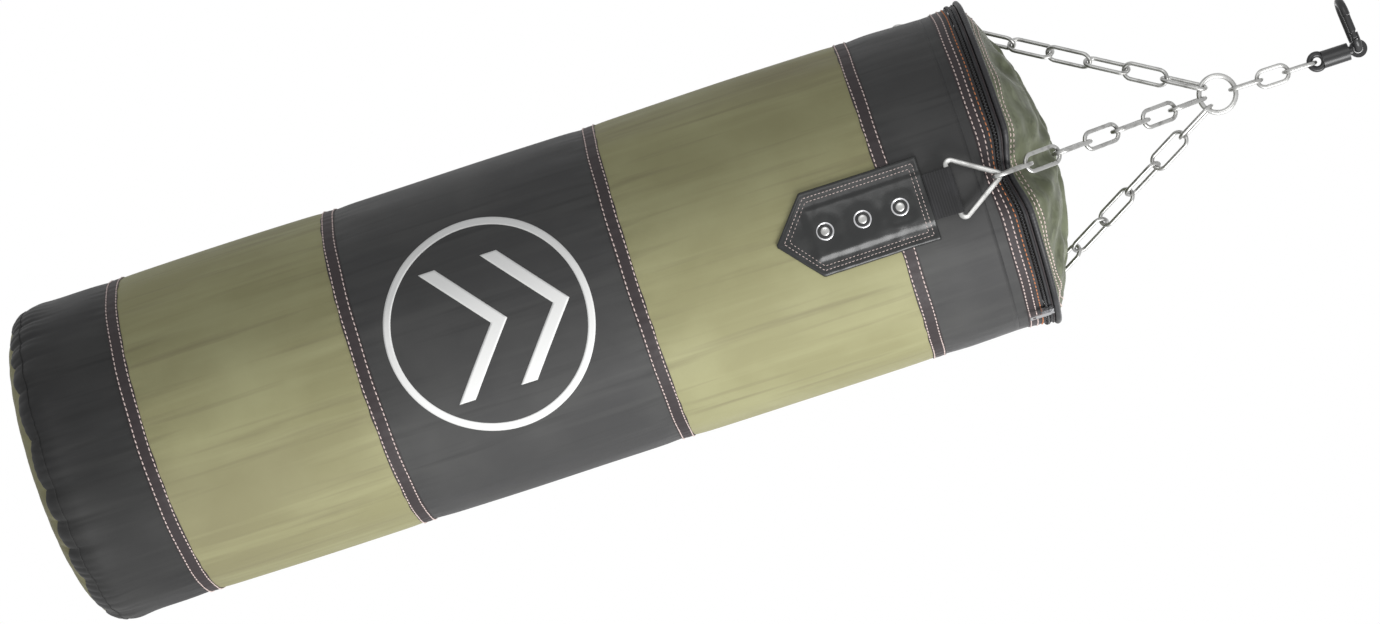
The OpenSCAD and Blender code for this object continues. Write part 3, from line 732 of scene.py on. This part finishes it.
def lathe(name, profile, centre, axis, sides=40):
    """A turned shape: a profile of (radius, height) in millimetres, spun round an axis."""
    axis = Vector(axis).normalized()
    spin = np.array(axis.to_track_quat("Z", "Y").to_matrix())
    turn = np.linspace(0, TAU, sides, endpoint=False)
    profile = np.array(profile) * MM
    points = np.stack(
        [profile[:, :1] * np.cos(turn), profile[:, :1] * np.sin(turn),
         np.broadcast_to(profile[:, 1:], (len(profile), sides))], -1)
    return skin(name, points @ spin.T + np.array(centre), wrap=(False, True), ends=True)


RIVET_CAP = [(8.5, 0.0), (8.6, 0.35), (8.4, 0.8), (8.0, 1.1), (7.6, 1.15), (7.2, 1.0), (7.0, 0.6)]
RIVET_CUP = [(7.1, 0.45), (6.9, 0.6), (4.3, 0.62), (4.0, 0.55)]
RIVET_DOME = [(4.3, 0.5), (4.25, 1.0), (3.9, 1.4), (3.0, 1.68), (1.6, 1.8), (0.3, 1.83)]
RIVET_PARTS = (
    ("ring", RIVET_CAP, BRIGHT),
    ("cup", RIVET_CUP, BLACK_METAL),
    ("dome", RIVET_DOME, GALVANISED),
)
for side, azimuth in CHAINS.items():
    for k, z in enumerate(RIVETS):
        a = math.radians(azimuth)
        axis = (math.cos(a), math.sin(a), 0)
        r = float(tab_front(8 * MM, z, azimuth)) - 0.35 * MM
        centre = (r * axis[0], r * axis[1], z)
        for part, profile, finish in RIVET_PARTS:
            piece = lathe(f"{side}_rivet_{k + 1}_{part}", profile, centre, axis)
            place(piece, "bag", finish)
            if (side, k, part) == ("front", 0, "ring"):
                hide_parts("rivets")


# ---- Print on the middle band ---------------------------------------------------------------
EMBLEM_Z = 451.5 * MM
EMBLEM_AZIMUTH = -95.4


def print_at(x, z, lift):
    """A place on the flat print, carried straight back onto the skin and lifted off it."""
    a = np.arcsin(x / BAG_R)
    theta = math.radians(EMBLEM_AZIMUTH) + a
    return wall(theta, wall_s(EMBLEM_Z + z), lift)


def print_strip(name, across, wrap_ends):
    """A printed strip from rows of (x, z) places: its face, then its back."""
    x = np.concatenate([across[..., 0], across[::-1, :, 0]])
    z = np.concatenate([across[..., 1], across[::-1, :, 1]])
    lift = np.repeat([0.22 * MM, -0.15 * MM], len(across))[:, None] + 0 * x
    points = print_at(x, z, lift)
    piece = skin(name, points.transpose(1, 0, 2), wrap=(wrap_ends, True), ends=not wrap_ends)
    return place(piece, "bag", PRINT)


phi = np.linspace(0, TAU, 240, endpoint=False)
ring_r = np.linspace(91 * MM, 98 * MM, 5)
grid_r, grid_p = np.meshgrid(ring_r, phi, indexing="ij")
ring_places = np.stack([grid_r * np.cos(grid_p), grid_r * np.sin(grid_p)], -1)
ring_print = print_strip("emblem_ring", ring_places, True)
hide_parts("emblem")
for k, base_z in enumerate((-38 * MM, 22 * MM)):
    x, v = np.meshgrid(np.linspace(-62 * MM, 62 * MM, 81), np.linspace(0, 16 * MM, 7))
    z = base_z + 40 * MM - 52 / 62 * np.abs(x) + v
    print_strip(f"emblem_chevron_{k + 1}", np.stack([x, z], -1), False)

# ---- Materials on the frame's own parts -------------------------------------------------------
LINER = plain("liner_cloth", linear(60, 60, 62), 0.8)
FOAM = plain("foam", linear(96, 96, 100), 0.9, 120, 0.5 * MM)
SHREDS = plain("shredded_filling", linear(120, 112, 100), 0.95, 60, 1 * MM)
CHROME = metal("slider_chrome", linear(206, 206, 208), 0.16, linear(170, 170, 172), 200, 0.01 * MM)
CHAIN = metal("chain_steel", linear(186, 186, 184), 0.34, linear(132, 131, 128), 140, 0.05 * MM)
FINISHES = {
    "hook_body": BLACK_METAL, "hook_gate": BLACK_METAL, "swivel_eye": BLACK_METAL,
    "swivel_barrel": BLACK_METAL, "swivel_collar": BLACK_METAL, "swivel_washer": BRASS,
    "gate_pin": GALVANISED, "gate_spring": GALVANISED, "joining_ring": GALVANISED,
    "zip_slider": CHROME, "zip_pull": CHROME, "liner": LINER, "foam_wall": FOAM, "filling": SHREDS,
}
for name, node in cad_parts.items():
    finish = FINISHES.get(name, GALVANISED if name.endswith("_ring") else CHAIN)
    node.data.materials.clear()
    node.data.materials.append(finish)

# ---- Camera and light -------------------------------------------------------------------------
camera = bpy.data.objects.new("camera", bpy.data.cameras.new("camera"))
bpy.context.scene.collection.objects.link(camera)
bpy.context.scene.camera = camera
camera.data.lens = 106
camera.data.sensor_width = 36
eye, aim = Vector((-0.21, -3.872, 0.7624)), Vector((0.0426, 0, 0.6249))
back = (eye - aim).normalized()
up = Vector((-0.951, 0, 0.31))
right = up.cross(back).normalized()
up = back.cross(right)
camera.matrix_world = Matrix.Translation(eye) @ Matrix((right, up, back)).transposed().to_4x4()


def lamp(name, at, towards, size, power, colour=(1, 1, 1)):
    """An area light aimed at a point."""
    data = bpy.data.lights.new(name, "AREA")
    data.shape = "RECTANGLE"
    data.size, data.size_y = size
    data.energy = power
    data.color = colour
    made = bpy.data.objects.new(name, data)
    made.location = at
    made.rotation_euler = (Vector(at) - Vector(towards)).to_track_quat("Z", "Y").to_euler()
    bpy.context.scene.collection.objects.link(made)


lamp("key", (2.3, -1.5, 1.3), (0, 0, 0.55), (1.4, 2.0), 90)
lamp("fill", (-1.2, -2.6, 1.0), (0, 0, 0.6), (1.6, 1.6), 16)
lamp("back", (0.4, 2.4, 1.6), (0, 0, 0.7), (2.4, 2.0), 25)

world = bpy.data.worlds.new("studio")
bpy.context.scene.world = world
world.use_nodes = True
tree = world.node_tree
tree.nodes.clear()
path = tree.nodes.new("ShaderNodeLightPath")
studio = tree.nodes.new("ShaderNodeBackground")
white = tree.nodes.new("ShaderNodeBackground")
mix = tree.nodes.new("ShaderNodeMixShader")
out = tree.nodes.new("ShaderNodeOutputWorld")
studio.inputs["Color"].default_value = (0.75, 0.76, 0.78, 1)
studio.inputs["Strength"].default_value = 0.42
white.inputs["Color"].default_value = (1, 1, 1, 1)
shiny = tree.nodes.new("ShaderNodeMath")
shiny.operation = "MULTIPLY"
shiny.inputs[1].default_value = 0.7
seen = tree.nodes.new("ShaderNodeMath")
seen.operation = "MAXIMUM"
tree.links.new(path.outputs["Is Glossy Ray"], shiny.inputs[0])
tree.links.new(path.outputs["Is Camera Ray"], seen.inputs[0])
tree.links.new(shiny.outputs[0], seen.inputs[1])
tree.links.new(seen.outputs[0], mix.inputs[0])
tree.links.new(studio.outputs[0], mix.inputs[1])
tree.links.new(white.outputs[0], mix.inputs[2])
tree.links.new(mix.outputs[0], out.inputs["Surface"])

bpy.context.scene.view_settings.view_transform = "Standard"
bpy.context.view_layer.update()
